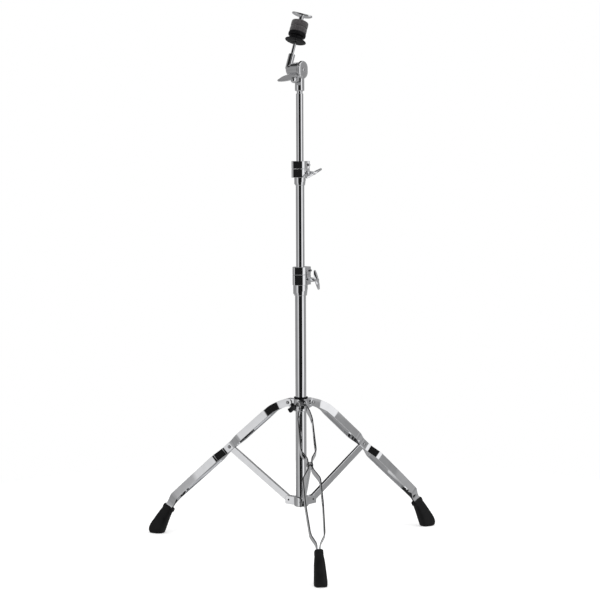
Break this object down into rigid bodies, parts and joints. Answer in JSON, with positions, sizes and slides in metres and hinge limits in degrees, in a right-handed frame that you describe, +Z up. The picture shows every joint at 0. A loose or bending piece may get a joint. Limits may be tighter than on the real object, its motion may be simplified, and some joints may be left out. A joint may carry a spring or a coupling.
{
  "type": "straight cymbal stand",
  "caption": "Folding tripod stand with double-strip legs, telescoping chrome tubes, split height clamps with memory locks, and a tilting rod with felts for a cymbal.",
  "frame": {"origin": "on the floor, under the middle of the stand's plan; the tube's axis stands 106.1 mm from it along +Y", "axes": "+Z up along the tubes; the front leg points along -Y and the other two 120 degrees either side of it"},
  "size_m": [0.7882, 0.6856, 1.3883],
  "materials": {
    "chrome": "polished chrome plate",
    "bright_steel": "zinc plated, satin",
    "dark_steel": "black, satin",
    "black_nylon": "moulded black nylon",
    "black_rubber": "matt black rubber",
    "grey_felt": "pressed wool felt"
  },
  "bodies": {
    "base": {"base_tube": "chrome", "stay_collar": "chrome", "collar_roll_pin": "bright_steel", "collar_pin_1": "bright_steel", "collar_pin_2": "bright_steel", "collar_pin_3": "bright_steel", "lower_clamp": "chrome", "lower_clamp_nut": "bright_steel"},
    "lower_bushing": {"lower_bushing": "black_nylon"},
    "lower_wing_bolt": {"lower_wing_bolt": "chrome"},
    "lower_lock": {"lower_memory_lock": "chrome"},
    "lower_lock_screw": {"lower_lock_screw": "bright_steel"},
    "middle": {"middle_tube": "chrome", "upper_clamp": "chrome", "upper_clamp_nut": "bright_steel"},
    "upper_bushing": {"upper_bushing": "black_nylon"},
    "upper_wing_bolt": {"upper_wing_bolt": "chrome"},
    "upper_lock": {"upper_memory_lock": "chrome"},
    "upper_lock_screw": {"upper_lock_screw": "bright_steel"},
    "upper": {"upper_tube": "chrome", "tilter_housing": "chrome", "tilter_brake_sleeve": "black_nylon"},
    "tilter_lever": {"tilter_lever": "chrome"},
    "arm": {"tilter_arm": "chrome", "tilter_shaft_screw": "bright_steel", "cymbal_rod": "bright_steel", "cymbal_seat": "black_nylon", "lower_felt": "grey_felt", "upper_felt": "grey_felt"},
    "wing_nut": {"wing_nut": "chrome"},
    "hub": {"leg_hub": "chrome", "hub_bushing": "black_nylon", "hub_pin_1": "bright_steel", "hub_pin_2": "bright_steel", "hub_pin_3": "bright_steel"},
    "hub_wing_bolt": {"hub_wing_bolt": "dark_steel"},
    "leg_1": {"leg_1_left_strip": "chrome", "leg_1_right_strip": "chrome", "leg_1_rivet": "bright_steel", "boot_1": "black_rubber"},
    "stay_1": {"stay_1": "chrome"},
    "leg_2": {"leg_2_left_strip": "chrome", "leg_2_right_strip": "chrome", "leg_2_rivet": "bright_steel", "boot_2": "black_rubber"},
    "stay_2": {"stay_2": "chrome"},
    "leg_3": {"leg_3_left_strip": "chrome", "leg_3_right_strip": "chrome", "leg_3_rivet": "bright_steel", "boot_3": "black_rubber"},
    "stay_3": {"stay_3": "chrome"}
  },
  "joints": [
    {"name": "stay_1_fold", "type": "hinge", "parent": "base", "child": "stay_1", "pos_m": [0, 0.07306, 0.121], "axis": [-1, 0, 0], "range_deg": [0, 46.5]},
    {"name": "leg_1_fold", "type": "hinge", "parent": "stay_1", "child": "leg_1", "pos_m": [0, -0.09894, 0.249], "axis": [-1, 0, 0], "range_deg": [-93, 0]},
    {"name": "hub_fold", "type": "hinge", "parent": "leg_1", "child": "hub", "pos_m": [0, 0.07306, 0.377], "axis": [-1, 0, 0], "range_deg": [0, 46.5]},
    {"name": "leg_2_fold", "type": "hinge", "parent": "hub", "child": "leg_2", "pos_m": [0.02858, 0.12256, 0.377], "axis": [0.5, -0.866, 0], "range_deg": [-46.5, 0]},
    {"name": "stay_2_fold", "type": "hinge", "parent": "leg_2", "child": "stay_2", "pos_m": [0.17753, 0.20856, 0.249], "axis": [0.5, -0.866, 0], "range_deg": [0, 93]},
    {"name": "leg_3_fold", "type": "hinge", "parent": "hub", "child": "leg_3", "pos_m": [-0.02858, 0.12256, 0.377], "axis": [0.5, 0.866, 0], "range_deg": [-46.5, 0]},
    {"name": "stay_3_fold", "type": "hinge", "parent": "leg_3", "child": "stay_3", "pos_m": [-0.17753, 0.20856, 0.249], "axis": [0.5, 0.866, 0], "range_deg": [0, 93]},
    {"name": "hub_bolt_turn", "type": "hinge", "parent": "hub", "child": "hub_wing_bolt", "pos_m": [0, 0.10606, 0.366], "axis": [-0.866, -0.5, 0], "continuous": true},
    {"name": "lower_swivel", "type": "hinge", "parent": "base", "child": "lower_bushing", "pos_m": [0, 0.10606, 0.7], "axis": [0, 0, 1], "continuous": true},
    {"name": "lower_height", "type": "slide", "parent": "lower_bushing", "child": "middle", "axis": [0, 0, 1], "range_m": [-0.2, 0.09]},
    {"name": "lower_lock_lift", "type": "slide", "parent": "base", "child": "lower_lock", "axis": [0, 0, 1], "range_m": [0, 0.2]},
    {"name": "upper_swivel", "type": "hinge", "parent": "middle", "child": "upper_bushing", "pos_m": [0, 0.10606, 0.975], "axis": [0, 0, 1], "continuous": true},
    {"name": "upper_height", "type": "slide", "parent": "upper_bushing", "child": "upper", "axis": [0, 0, 1], "range_m": [-0.165, 0.1]},
    {"name": "upper_lock_lift", "type": "slide", "parent": "middle", "child": "upper_lock", "axis": [0, 0, 1], "range_m": [0, 0.16]},
    {"name": "lower_wing_turn", "type": "hinge", "parent": "base", "child": "lower_wing_bolt", "pos_m": [0.01626, 0.12233, 0.69642], "axis": [0.7071, -0.7071, 0], "continuous": true},
    {"name": "lower_lock_screw_turn", "type": "hinge", "parent": "lower_lock", "child": "lower_lock_screw", "pos_m": [0.01626, 0.12233, 0.72008], "axis": [0.7071, -0.7071, 0], "continuous": true},
    {"name": "upper_wing_turn", "type": "hinge", "parent": "middle", "child": "upper_wing_bolt", "pos_m": [0.01618, 0.11503, 0.97067], "axis": [0.4848, -0.8746, 0], "continuous": true},
    {"name": "upper_lock_screw_turn", "type": "hinge", "parent": "upper_lock", "child": "upper_lock_screw", "pos_m": [0.01618, 0.11503, 0.99208], "axis": [0.4848, -0.8746, 0], "continuous": true},
    {"name": "tilter_tilt", "type": "hinge", "parent": "upper", "child": "arm", "pos_m": [0, 0.10606, 1.234], "axis": [-0.6691, 0.7431, 0], "range_deg": [-111, 69]},
    {"name": "tilter_lever_turn", "type": "hinge", "parent": "upper", "child": "tilter_lever", "pos_m": [0, 0.10606, 1.208], "axis": [-0.7431, -0.6691, 0], "range_deg": [0, 180]},
    {"name": "wing_nut_spin", "type": "hinge", "parent": "arm", "child": "wing_nut", "pos_m": [0.01192, 0.16995, 1.36844], "axis": [0.2663, 0.2398, 0.9336], "continuous": true}
  ],
  "couplings": [
    {"joint": "leg_1_fold", "follows": "stay_1_fold", "ratio": -2},
    {"joint": "hub_fold", "follows": "stay_1_fold", "ratio": 1},
    {"joint": "leg_2_fold", "follows": "stay_1_fold", "ratio": -1},
    {"joint": "leg_3_fold", "follows": "stay_1_fold", "ratio": -1},
    {"joint": "stay_2_fold", "follows": "stay_1_fold", "ratio": 2},
    {"joint": "stay_3_fold", "follows": "stay_1_fold", "ratio": 2}
  ]
}
